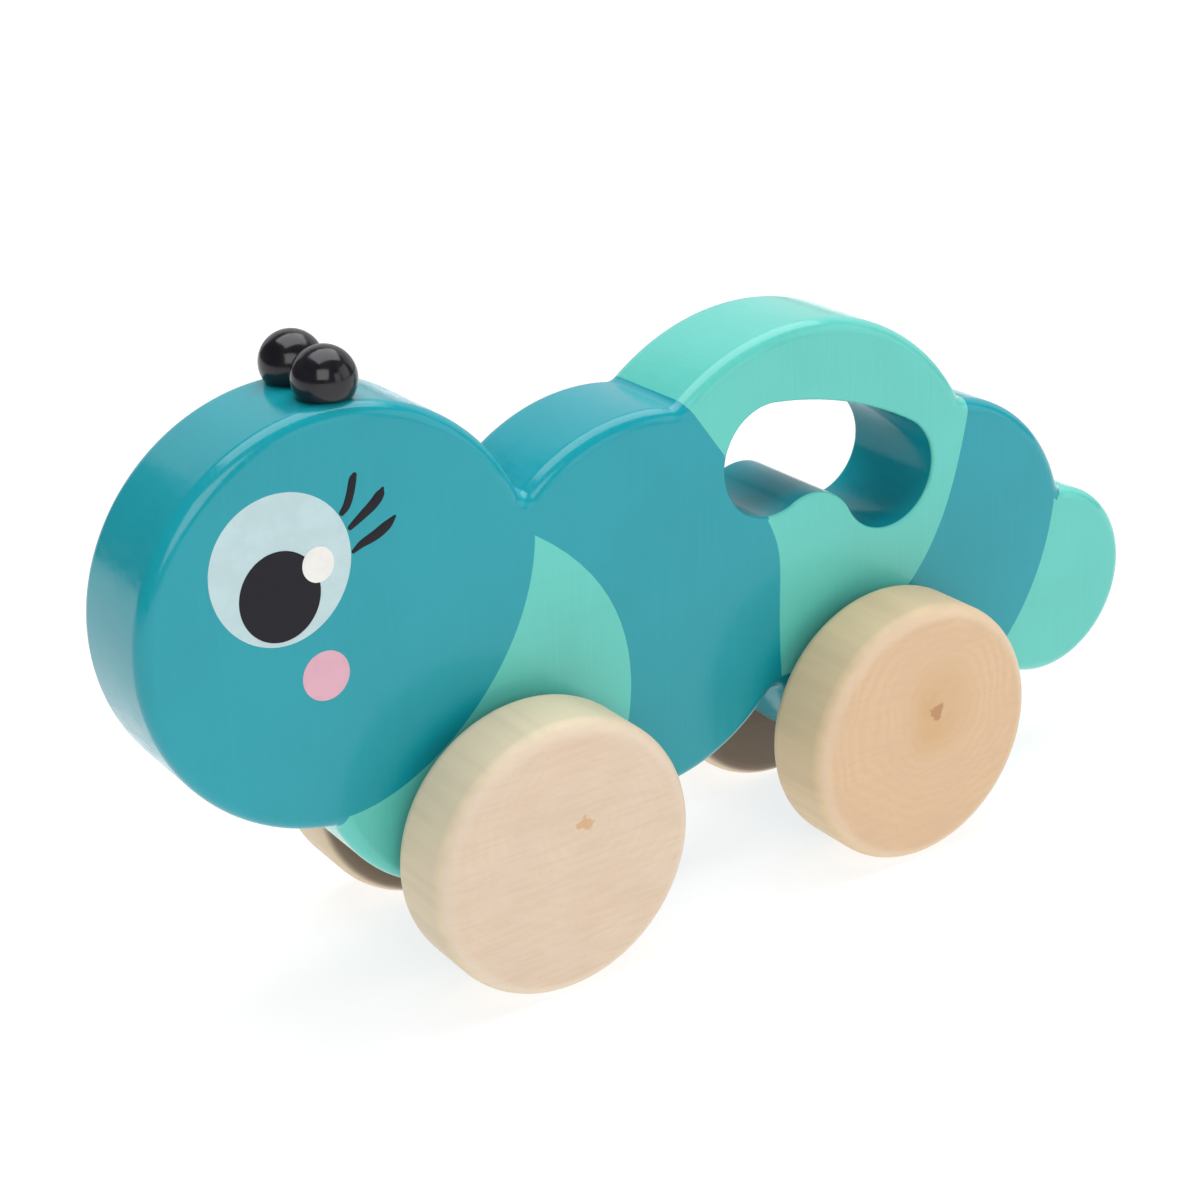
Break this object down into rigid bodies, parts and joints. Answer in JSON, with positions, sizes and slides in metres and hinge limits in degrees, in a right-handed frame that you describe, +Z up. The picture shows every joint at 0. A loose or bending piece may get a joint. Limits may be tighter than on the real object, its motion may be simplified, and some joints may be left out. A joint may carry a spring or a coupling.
{
  "type": "push-along animal toy",
  "caption": "Wooden push-along grub: a painted humped board with rounded rims and a hand hole, two ball antennae and plain wheels on turning axles.",
  "frame": {"origin": "on the surface that the toy stands on, under the middle of its bounding box", "axes": "+Z up, -X towards the head (the way the toy faces), -Y the toy's left side, Y along the axles"},
  "size_m": [0.1848, 0.0522, 0.1002],
  "materials": {
    "painted_wood": "gloss lacquer, teal and mint segments",
    "wheel_wood": "bare sanded maple, satin",
    "axle_wood": "bare birch dowel",
    "black_lacquer": "gloss black lacquer"
  },
  "bodies": {
    "root": {"body_board": "painted_wood", "left_antenna": "black_lacquer", "right_antenna": "black_lacquer"},
    "front_wheelset": {"front_axle": "axle_wood", "front_left_wheel": "wheel_wood", "front_right_wheel": "wheel_wood"},
    "rear_wheelset": {"rear_axle": "axle_wood", "rear_left_wheel": "wheel_wood", "rear_right_wheel": "wheel_wood"}
  },
  "joints": [
    {"name": "front_axle_turn", "type": "hinge", "parent": "root", "child": "front_wheelset", "pos_m": [-0.0359, 0, 0.022], "axis": [0, 1, 0], "continuous": true},
    {"name": "rear_axle_turn", "type": "hinge", "parent": "root", "child": "rear_wheelset", "pos_m": [0.0331, 0, 0.022], "axis": [0, 1, 0], "continuous": true}
  ]
}
